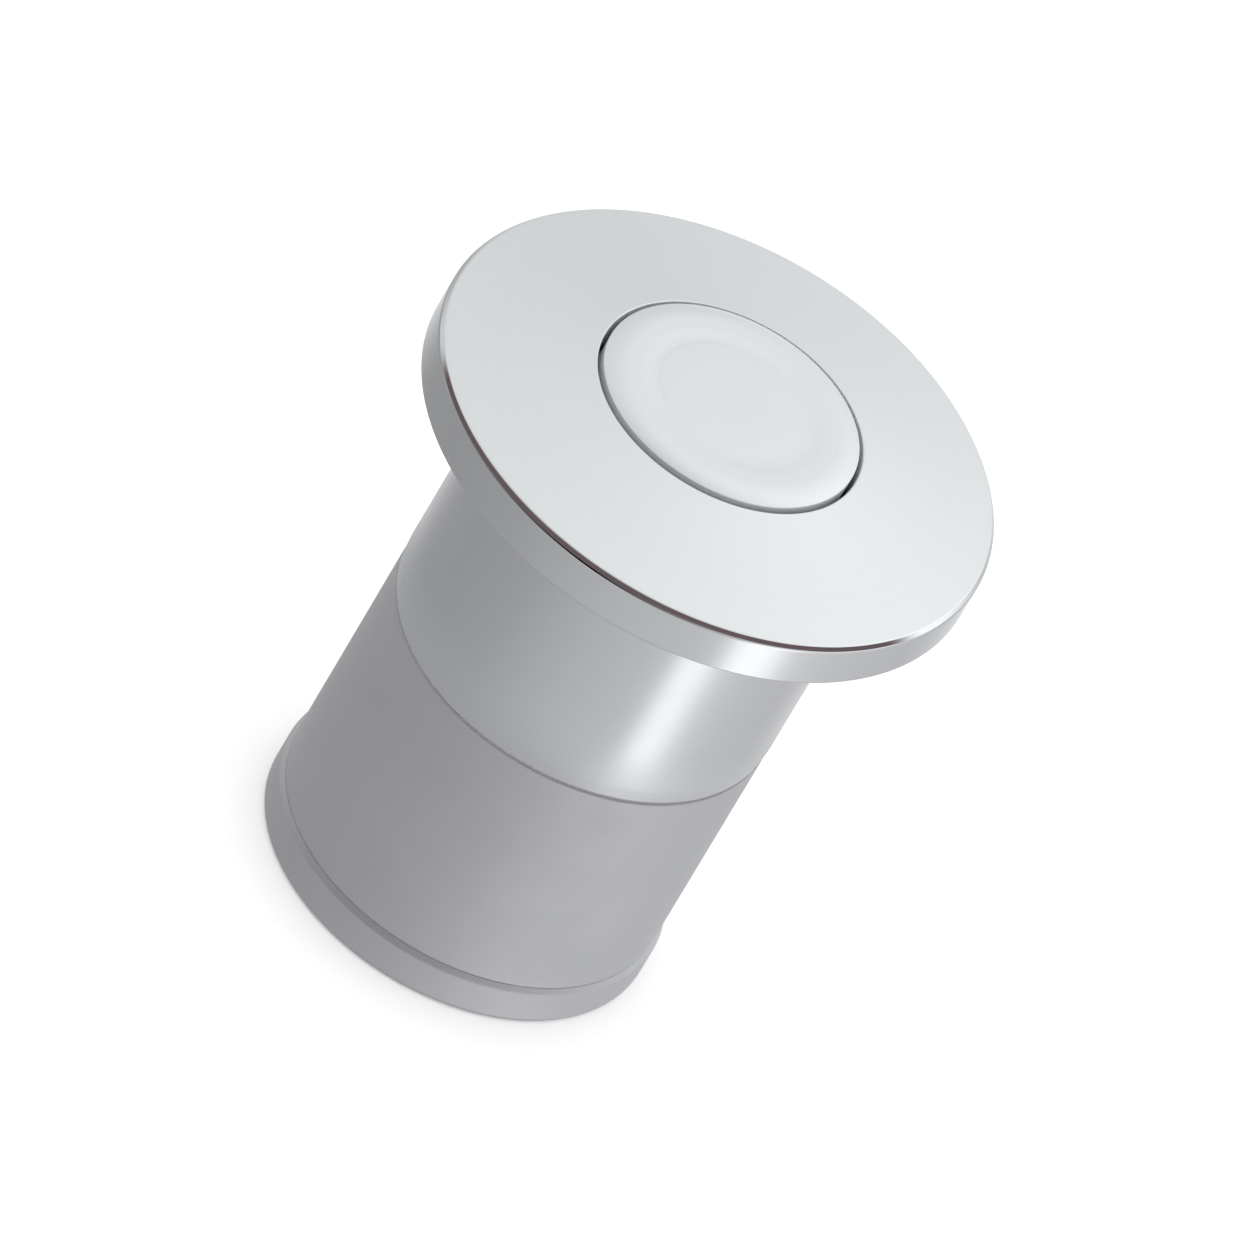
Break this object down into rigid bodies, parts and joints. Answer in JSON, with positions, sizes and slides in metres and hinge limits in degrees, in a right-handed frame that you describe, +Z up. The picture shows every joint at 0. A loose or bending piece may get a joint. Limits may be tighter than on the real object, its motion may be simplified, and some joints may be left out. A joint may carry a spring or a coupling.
{
  "type": "dust-proof floor socket",
  "caption": "Round flanged floor socket for a door's flush bolt: a barrel to set in the floor, with a sprung plunger that fills the mouth until the bolt pushes it down.",
  "frame": {"origin": "centre of the flange's underside, on the barrel's axis, level with the finished floor", "axes": "+Z up out of the floor along the barrel's axis; X and Y lie in the floor"},
  "size_m": [0.038, 0.038, 0.0431],
  "materials": {
    "satin_stainless_head": "fine turned satin",
    "satin_stainless_plunger": "fine blasted",
    "matt_stainless_barrel": "matt turned",
    "matt_stainless_cap": "matt turned",
    "plain_stainless": "plain",
    "spring_steel": "dark, oiled",
    "spring_wire": "drawn wire",
    "nitrile_rubber": "matt black",
    "grey_ptfe": "skived sheet, grey",
    "white_acetal": "moulded, natural white",
    "black_acetal": "moulded, black"
  },
  "bodies": {
    "housing": {"flange_head": "satin_stainless_head", "wiper_ring": "nitrile_rubber", "guide_bush": "white_acetal", "bush_snap_ring": "spring_steel", "joint_gasket": "grey_ptfe", "lower_barrel": "matt_stainless_barrel", "bottom_cap": "matt_stainless_cap", "spring_seat": "black_acetal", "spring": "spring_wire"},
    "plunger": {"plunger": "satin_stainless_plunger", "bump_ring": "nitrile_rubber", "stop_washer": "plain_stainless", "plunger_snap_ring": "spring_steel"}
  },
  "joints": [
    {"name": "plunger_slide", "type": "slide", "parent": "housing", "child": "plunger", "axis": [0, 0, -1], "range_m": [0, 0.02], "stiffness_N_per_m": 480, "springref_m": -0.008, "deforming": ["spring"]}
  ]
}
